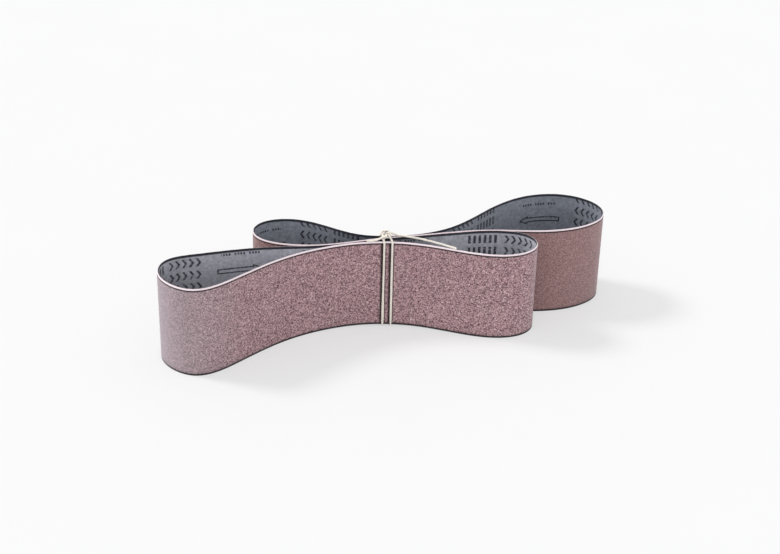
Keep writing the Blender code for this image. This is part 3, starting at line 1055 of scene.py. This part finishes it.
@dataclass
class Belt:
    """One endless belt: its band, the grains proud of its coat and the threads at its cut edges."""

    node: str
    slot: str
    thickness: float
    grit: GritFinish
    backing: BackingFinish
    edge: CutEdgeFinish
    grains: Scatter
    fray: Scatter
    outer_side: float
    columns: int = 366
    coat_inset: float = 0.00012
    chamfer_height: float = 0.00155
    chamfer_depth: float = 0.50
    softness: float = 0.00012
    bare_strip: float = 0.0020
    waist_reach: float = 0.004
    samples_per_span: int = 8
    edge_wander: float = 0.00012
    wander_depth: float = 0.010
    rows_outside: int = 44
    rows_inside: int = 26
    line: np.ndarray = field(init=False)
    length: float = field(init=False)

    def __post_init__(self) -> None:
        """Read the band's middle line from the CAD node and find which way is outwards."""
        plan = NodeShape(self.node).band_line()
        self.line, self.length = spaced(smooth_line(plan, True, self.samples_per_span), self.columns)
        onward = np.roll(self.line, -1, axis=0)
        area = float((self.line[:, 0] * onward[:, 1] - onward[:, 0] * self.line[:, 1]).sum())
        if area < 0.0:
            self.line = self.line[::-1]
        waist = np.flatnonzero(np.abs(self.line[:, 0]) < self.waist_reach)
        start = waist[int(np.argmin(self.line[waist, 1] * self.outer_side))]
        self.line = np.roll(self.line, -int(start), axis=0)

    def profile(self) -> list[tuple[float, float, Side, bool]]:
        """Return the band's section, once round.

        Returns:
            For each corner, its offset outwards, its height, the side of the strip that leads on from it,
            and whether loose grains lie on that strip.
        """
        half = self.thickness / 2
        coat = half - self.coat_inset
        lip = coat - self.chamfer_depth * self.thickness
        top, cut = BELT_WIDTH, self.chamfer_height
        soft, bare = self.softness, self.bare_strip
        rise = (top - cut - bare - 2 * soft) / self.rows_outside
        corners = [(coat, 2 * soft + rise * k, Side.GRIT, k > 0) for k in range(self.rows_outside)]
        corners += [
            (coat, top - cut - bare, Side.GRIT, False),
            (coat, top - cut, Side.CUT_EDGE, False),
            (coat - 0.22 * (coat - lip), top - 0.60 * cut, Side.CUT_EDGE, False),
            (lip + 0.25 * (coat - lip), top - 0.20 * cut, Side.CUT_EDGE, False),
            (lip, top - 0.3 * soft, Side.CUT_EDGE, False),
            (0.5 * (lip - half), top, Side.BACKING, False),
            (-half + soft, top - 0.3 * soft, Side.BACKING, False),
            (-half, top - soft, Side.BACKING, False),
        ]
        drop = (top - 2 * soft) / self.rows_inside
        corners += [(-half, top - soft - drop * k, Side.BACKING, False) for k in range(1, self.rows_inside)]
        corners += [
            (-half, soft, Side.BACKING, False),
            (-half + soft, 0.3 * soft, Side.BACKING, False),
            (0.0, 0.0, Side.GRIT, False),
            (coat - 2 * soft, 0.3 * soft, Side.GRIT, False),
        ]
        return corners

    def ripple(self, height: np.ndarray, along: np.ndarray) -> np.ndarray:
        """Return how far the cut edges wander up or down, for heights and lengths along the belt."""
        wave = np.zeros(np.broadcast(height, along).shape)
        for count, size, lag in ((7, 0.5, 0.3), (19, 0.3, 1.7), (47, 0.22, 4.1), (101, 0.16, 2.2)):
            wave = wave + size * np.sin(math.tau * count * along / self.length + lag)
        near_top = np.clip((height - BELT_WIDTH + self.wander_depth) / self.wander_depth, 0.0, 1.0)
        return self.edge_wander * wave * near_top

    def band(self) -> bpy.types.Object:
        """Build the band with its UV map in metres and its mark for the grit side."""
        section = self.profile()
        count = len(section)
        ahead = np.roll(self.line, -1, axis=0)
        behind = np.roll(self.line, 1, axis=0)
        tangent = (ahead - behind)[:, :2]
        tangent /= np.linalg.norm(tangent, axis=1, keepdims=True)
        outward = np.column_stack([tangent[:, 1], -tangent[:, 0]])
        offsets = np.array([corner[0] for corner in section])
        heights = np.array([corner[1] for corner in section])
        flat = self.line[:, None, :2] + outward[:, None, :] * offsets[None, :, None]
        along = np.arange(self.columns) * self.length / self.columns
        level = self.line[:, None, 2] + heights[None, :] + self.ripple(heights[None, :], along[:, None])
        points = np.concatenate([flat, level[:, :, None]], axis=2).reshape(-1, 3)
        column, row = np.meshgrid(np.arange(self.columns), np.arange(count), indexing="ij")
        following, upper = (column + 1) % self.columns, (row + 1) % count
        ends = ((column, row), (following, row), (following, upper), (column, upper))
        faces = np.stack([at * count + spot for at, spot in ends], axis=-1).reshape(-1, 4)
        mesh = bpy.data.meshes.new(self.node + "_band")
        mesh.from_pydata(points.tolist(), [], faces.tolist())
        step = self.length / self.columns
        near, far = column * step, (column + 1) * step
        low, high = heights[row], heights[upper]
        chart = mesh.uv_layers.new(name=CLOTH_MAP)
        chart.data.foreach_set("uv", np.stack([near, low, far, low, far, high, near, high], axis=-1).ravel())
        sides = [corner[2].value for corner in section] * self.columns
        mesh.polygons.foreach_set("material_index", sides)
        mesh.polygons.foreach_set("use_smooth", [True] * len(faces))
        mark = mesh.attributes.new(GROWTH_MASK, "BOOLEAN", "FACE")
        mark.data.foreach_set("value", [corner[3] for corner in section] * self.columns)
        mesh.validate()
        face_outward(mesh)
        return new_piece(self.node + "_band", mesh)

    def make(self, effects: Effects, scatter: bpy.types.NodeTree) -> None:
        """Build and dress the band, its grains and its frayed threads.

        Args:
            effects: The shared shader groups.
            scatter: The tree that scatters grains and threads.
        """
        band = self.band()
        coat = self.grit.coat(effects)
        cut = self.edge.material(effects)
        for material in (coat, self.backing.material(effects), cut):
            band.data.materials.append(material)
        grains = self.grains.grow(band, scatter, self.grit.grains(effects))
        mark = band.data.attributes[GROWTH_MASK]
        rims = [face.material_index == Side.CUT_EDGE.value for face in band.data.polygons]
        mark.data.foreach_set("value", rims)
        fray = self.fray.grow(band, scatter, cut)
        band.data.attributes.remove(band.data.attributes[GROWTH_MASK])
        for piece in (band, grains, fray):
            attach(piece, BODY)
            report(piece)
        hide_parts(self.node)


def build_ply_tree() -> bpy.types.NodeTree:
    """Return the tree that lays twisted plies round a line of points.

    Returns:
        A tree with inputs for the ply's radius, its offset, the length of lay, the step and the material.
    """
    inputs = {"Geometry": GEOMETRY, "Plies": INTEGER, "Sides": INTEGER, "Finish": MATERIAL}
    inputs |= dict.fromkeys(("Ply Radius", "Ply Offset", "Lay", "Step"), FLOAT)
    graph, given, out = new_group("twisted plies", GEOMETRY_TREE, inputs, {"Geometry": GEOMETRY})
    line = graph.add("GeometryNodeMeshToCurve", {"Mesh": given["Geometry"]})
    values = {"Curve": line.outputs[0], "Length": given["Step"]}
    even = graph.add("GeometryNodeResampleCurve", values, mode="LENGTH")
    run = graph.add("GeometryNodeSplineParameter")
    twist = graph.times(graph.ratio(run.outputs["Length"], given["Lay"]), math.tau)
    tilted = graph.add("GeometryNodeSetCurveTilt", {"Curve": even.outputs[0], "Tilt": twist})
    along = graph.store(tilted.outputs[0], PLY_ALONG, run.outputs["Length"])
    thickness = graph.add("GeometryNodeInputNamedAttribute", {"Name": CORD_SHARE}, data_type="FLOAT")
    values = {"Resolution": given["Sides"], "Radius": given["Ply Radius"]}
    ring = graph.add("GeometryNodeCurvePrimitiveCircle", values)
    part = graph.add("GeometryNodeSplineParameter")
    around = graph.store(ring.outputs[0], PLY_AROUND, part.outputs["Factor"])
    values = {"Vertices": given["Plies"], "Radius": given["Ply Offset"]}
    spots = graph.add("GeometryNodeMeshCircle", values)
    values = {"Points": spots.outputs[0], "Instance": around}
    plies = graph.add("GeometryNodeInstanceOnPoints", values)
    section = graph.add("GeometryNodeRealizeInstances", {"Geometry": plies.outputs[0]})
    swept = graph.add(
        "GeometryNodeCurveToMesh",
        {
            "Curve": along,
            "Profile Curve": section.outputs[0],
            "Scale": thickness.outputs["Attribute"],
            "Fill Caps": True,
        },
    )
    return dressed_tree(graph, swept.outputs[0], True, given["Finish"], out)


@dataclass
class TieCord:
    """The cord round the waist: twisted plies along the CAD node's middle line, with loose fuzz."""

    node: str
    slot: str
    finish: CordFinish
    fuzz: Scatter
    lay: float = 0.0078
    step: float = 0.0007
    plies: int = 3
    sides: int = 10
    samples_per_span: int = 8
    fuzz_from: float = 0.004
    batch: int = 2000

    def mark_crevices(self, mesh: bpy.types.Mesh, line: np.ndarray, radius: float) -> None:
        """Store how deep each vertex lies in a crevice between two stretches of the cord.

        Args:
            mesh: The plies' mesh, which holds the length along the cord as an attribute.
            line: The cord's middle line.
            radius: The cord's radius.
        """
        spots = mesh_arrays(mesh)[0]
        count = len(spots)
        along = np.empty(count)
        mesh.attributes[PLY_ALONG].data.foreach_get("value", along)
        known = travelled(line)
        depth = np.zeros(count)
        for start in range(0, count, self.batch):
            part = slice(start, start + self.batch)
            reach = np.linalg.norm(spots[part, None] - line[None], axis=2)
            reach[np.abs(along[part, None] - known[None]) < 4.0 * radius] = 1.0
            depth[part] = np.clip((2.0 * radius - reach.min(axis=1)) / (0.8 * radius), 0.0, 1.0)
        mesh.attributes.new(CREVICE, "FLOAT", "POINT").data.foreach_set("value", depth)

    def make(self, effects: Effects, scatter: bpy.types.NodeTree) -> None:
        """Build and dress the plies and their fuzz.

        Args:
            effects: The shared shader groups.
            scatter: The tree that scatters the fuzz.
        """
        centres, radii = NodeShape(self.node).tube_line()
        full = float(radii.max())
        line = smooth_line(np.column_stack([centres, radii / full]), False, self.samples_per_span)
        mesh = bpy.data.meshes.new("cord_line")
        mesh.from_pydata(line[:, :3].tolist(), [(k, k + 1) for k in range(len(line) - 1)], [])
        share = mesh.attributes.new(CORD_SHARE, "FLOAT", "POINT")
        share.data.foreach_set("value", line[:, 3])
        guide = new_piece("cord_guide", mesh)
        ply_radius = full / (1.0 + 1.0 / math.sin(math.pi / self.plies))
        material = self.finish.material(effects)
        values = {
            "Plies": self.plies,
            "Ply Radius": ply_radius,
            "Ply Offset": full - ply_radius,
            "Lay": self.lay,
            "Step": self.step,
            "Sides": self.sides,
            "Finish": material,
        }
        cord = grown("tie_cord_plies", guide, build_ply_tree(), values)
        bpy.data.objects.remove(guide)
        face_outward(cord.data)
        self.mark_crevices(cord.data, line[:, :3], full)
        mark = cord.data.attributes.new(GROWTH_MASK, "BOOLEAN", "FACE")
        mark.data.foreach_set("value", [face.center.z > self.fuzz_from for face in cord.data.polygons])
        fuzz = self.fuzz.grow(cord, scatter, material)
        cord.data.attributes.remove(cord.data.attributes[GROWTH_MASK])
        log.info("cord: %.3f m long, %.2f mm thick", travelled(line[:, :3])[-1], 2000 * full)
        for piece in (cord, fuzz):
            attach(piece, BODY)
            report(piece)
        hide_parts(self.node)


# Studio


@dataclass(frozen=True)
class Lamp:
    """A lamp far off: its power, the direction that it shines from and how broad it looks, in degrees."""

    name: str
    power: float
    shines_from: tuple[float, float, float]
    breadth: float

    def hang(self) -> None:
        """Add the lamp to the scene."""
        data = bpy.data.lights.new(self.name, "SUN")
        data.energy = self.power
        data.angle = math.radians(self.breadth)
        lamp = bpy.data.objects.new(self.name, data)
        bpy.context.scene.collection.objects.link(lamp)
        lamp.rotation_mode = "QUATERNION"
        lamp.rotation_quaternion = Vector(self.shines_from).to_track_quat("Z", "Y")


@dataclass(frozen=True)
class Studio:
    """The pale floor, the soft light and the camera at the photograph's angle."""

    focal_pixels: float = 1500.0
    place: tuple[float, float, float] = (-0.40496, -1.39043, 0.80006)
    yaw: float = 16.291
    pitch: float = 27.321
    roll: float = 1.412
    floor_size: float = 24.0
    floor_colour: Colour = (0.80, 0.80, 0.81)
    floor_glow: float = 0.48
    sky: float = 0.66
    lamps: tuple[Lamp, ...] = (
        Lamp("broad_lamp", 1.55, (-0.60, 0.40, 0.72), 14.0),
        Lamp("front_fill", 0.90, (-0.25, -0.78, 0.60), 22.0),
    )

    def set_camera(self) -> None:
        """Place the camera that the photograph's edges give."""
        yaw, pitch, roll = (math.radians(angle) for angle in (self.yaw, self.pitch, self.roll))
        level_ahead = Vector((math.sin(yaw), math.cos(yaw), 0.0))
        ahead = level_ahead * math.cos(pitch) - Vector((0.0, 0.0, math.sin(pitch)))
        level = Vector((math.cos(yaw), -math.sin(yaw), 0.0))
        upright = level.cross(ahead)
        right = level * math.cos(roll) + upright * math.sin(roll)
        up = upright * math.cos(roll) - level * math.sin(roll)
        data = bpy.data.cameras.new("photo_camera")
        data.sensor_width = SENSOR_WIDTH
        data.lens = self.focal_pixels / PHOTO_WIDTH * SENSOR_WIDTH
        data.clip_start = 0.05
        data.clip_end = 60.0
        camera = bpy.data.objects.new("photo_camera", data)
        bpy.context.scene.collection.objects.link(camera)
        turn = Matrix((right, up, -ahead)).transposed()
        camera.matrix_world = Matrix.Translation(self.place) @ turn.to_4x4()
        bpy.context.scene.camera = camera

    def lay_floor(self) -> None:
        """Make the floor, which shows near white to the camera and keeps the object's shadow."""
        half = self.floor_size / 2
        mesh = bpy.data.meshes.new("floor")
        corners = [(-half, -half, 0.0), (half, -half, 0.0), (half, half, 0.0), (-half, half, 0.0)]
        mesh.from_pydata(corners, [], [(0, 1, 2, 3)])
        floor = new_piece("floor", mesh)
        material = bpy.data.materials.new("pale_floor")
        material.use_nodes = True
        graph = Graph(material.node_tree)
        shader = material.node_tree.nodes["Principled BSDF"]
        place = graph.add("ShaderNodeTexCoord").outputs["Object"]
        tone = graph.remap(graph.noise(place, 6.0, 2.0), 0.3, 0.7, 0.985, 1.0)
        colour = graph.scaled(graph.packed(*self.floor_colour), tone)
        graph.join(colour, shader.inputs["Base Color"])
        shader.inputs["Roughness"].default_value = 0.9
        shader.inputs["Specular IOR Level"].default_value = 0.1
        seen = seen_directly(graph)
        glow = graph.add("ShaderNodeEmission", {"Color": (1.0, 1.0, 1.0), "Strength": 1.0})
        share = graph.times(seen, self.floor_glow)
        joined = graph.add("ShaderNodeMixShader", {0: share, 1: shader.outputs[0], 2: glow.outputs[0]})
        output = material.node_tree.nodes["Material Output"]
        graph.join(joined.outputs[0], output.inputs["Surface"])
        mesh.materials.append(material)

    def light(self) -> None:
        """Light the object with an even sky, a broad lamp behind it to the left and a weak fill in front."""
        scene = bpy.context.scene
        world = bpy.data.worlds.new("studio")
        scene.world = world
        world.use_nodes = True
        graph = Graph(world.node_tree)
        dim = world.node_tree.nodes["Background"]
        dim.inputs["Color"].default_value = (1.0, 1.0, 1.0, 1.0)
        graph.join(graph.remap(seen_directly(graph), 0.0, 1.0, self.sky, 1.0), dim.inputs["Strength"])
        for lamp in self.lamps:
            lamp.hang()
        scene.view_settings.view_transform = "Standard"

    def set_up(self) -> None:
        """Set the camera, the floor and the light."""
        self.set_camera()
        self.lay_floor()
        self.light()


# The object

GRIT_GLOSS = Gloss(specular=0.28, sheen=0.28, sheen_roughness=0.45, sheen_colour=(0.92, 0.93, 1.0))
CLOTH_GLOSS = Gloss(specular=0.15, sheen=0.25, sheen_roughness=0.5, sheen_colour=(0.9, 0.92, 1.0))
COTTON_GLOSS = Gloss(specular=0.15, sheen=0.3, sheen_roughness=0.4)

COARSE_GRIT = GritFinish(
    name="coarse_grit",
    dark=linear(80, 53, 56),
    light=linear(204, 169, 174),
    chip=linear(236, 214, 214),
    line=linear(34, 22, 26),
    grain_size=0.00098,
    relief=0.00022,
    chip_share=0.8,
    mottle=0.05,
    dust=linear(164, 157, 163),
    dust_from=-0.165,
    dust_to=-0.250,
    dust_share=0.60,
    gloss=GRIT_GLOSS,
)
FINE_GRIT = GritFinish(
    name="fine_grit",
    dark=linear(114, 80, 79),
    light=linear(170, 136, 135),
    chip=linear(210, 176, 175),
    line=linear(30, 20, 22),
    grain_size=0.00080,
    relief=0.00010,
    chip_share=0.5,
    mottle=0.06,
    dust=linear(164, 152, 154),
    dust_from=0.10,
    dust_to=0.25,
    dust_share=0.14,
    gloss=GRIT_GLOSS,
)
FRONT_BACKING = BackingFinish(
    name="grey_backing",
    cloth=linear(160, 161, 172),
    thread=linear(196, 196, 205),
    ink=linear(30, 31, 40),
    ink_strength=0.92,
    turn=1.0,
    phase=0.0130,
    drop=0.0,
    depth_shade=0.34,
    pinch_shade=0.60,
    pinch_reach=0.045,
    gloss=CLOTH_GLOSS,
)
REAR_BACKING = BackingFinish(
    name="dark_backing",
    cloth=linear(118, 124, 136),
    thread=linear(156, 160, 170),
    ink=linear(26, 29, 38),
    ink_strength=0.97,
    turn=-1.0,
    phase=0.1180,
    drop=0.0070,
    depth_shade=0.29,
    pinch_shade=0.60,
    pinch_reach=0.090,
    gloss=CLOTH_GLOSS,
)
CUT_EDGE = CutEdgeFinish(
    name="cut_edge",
    cloth=linear(244, 233, 237),
    glue=linear(198, 170, 176),
    gloss=COTTON_GLOSS,
)
COTTON_CORD = CordFinish(
    name="cotton_cord",
    cotton=linear(247, 243, 235),
    shade=linear(238, 230, 219),
    grime=linear(72, 60, 52),
    gloss=COTTON_GLOSS,
)


def front_belt() -> Belt:
    """Return the front belt, with coarse grit."""
    grains = Scatter(
        "front_belt_grains", 262000.0, 11, 0.00052, 0.00012, 0.00030, sink=0.00004, tilt=0.55, least=0.55
    )
    fray = Scatter("front_belt_fray", 900000.0, 12, 0.00005, 0.00001, 0.00055, sink=0.0, tilt=0.9, least=0.5)
    return Belt(
        node="front_belt",
        slot="coarse_abrasive_cloth",
        thickness=0.0013,
        grit=COARSE_GRIT,
        backing=FRONT_BACKING,
        edge=CUT_EDGE,
        grains=grains,
        fray=fray,
        outer_side=1.0,
    )


def rear_belt() -> Belt:
    """Return the rear belt, with fine grit."""
    grains = Scatter(
        "rear_belt_grains", 265000.0, 21, 0.00034, 0.00008, 0.00018, sink=0.00003, tilt=0.5, least=0.5
    )
    fray = Scatter("rear_belt_fray", 900000.0, 22, 0.00005, 0.00001, 0.00055, sink=0.0, tilt=0.9, least=0.5)
    return Belt(
        node="rear_belt",
        slot="fine_abrasive_cloth",
        thickness=0.0011,
        grit=FINE_GRIT,
        backing=REAR_BACKING,
        edge=CUT_EDGE,
        grains=grains,
        fray=fray,
        outer_side=-1.0,
    )


def tie_cord() -> TieCord:
    """Return the cord."""
    fuzz = Scatter("tie_cord_fuzz", 900000.0, 31, 0.000035, 0.00001, 0.0011, sink=0.0, tilt=1.25, least=0.4)
    return TieCord(node="tie_cord", slot="cotton_cord", finish=COTTON_CORD, fuzz=fuzz)


def main() -> None:
    """Build the studio, the belts and the cord."""
    logging.basicConfig(level=logging.INFO, format="%(name)s %(message)s")
    Studio().set_up()
    effects = Effects()
    scatter = build_scatter_tree()
    for part in (front_belt(), rear_belt(), tie_cord()):
        part.make(effects, scatter)


if __name__ == "__main__":
    main()
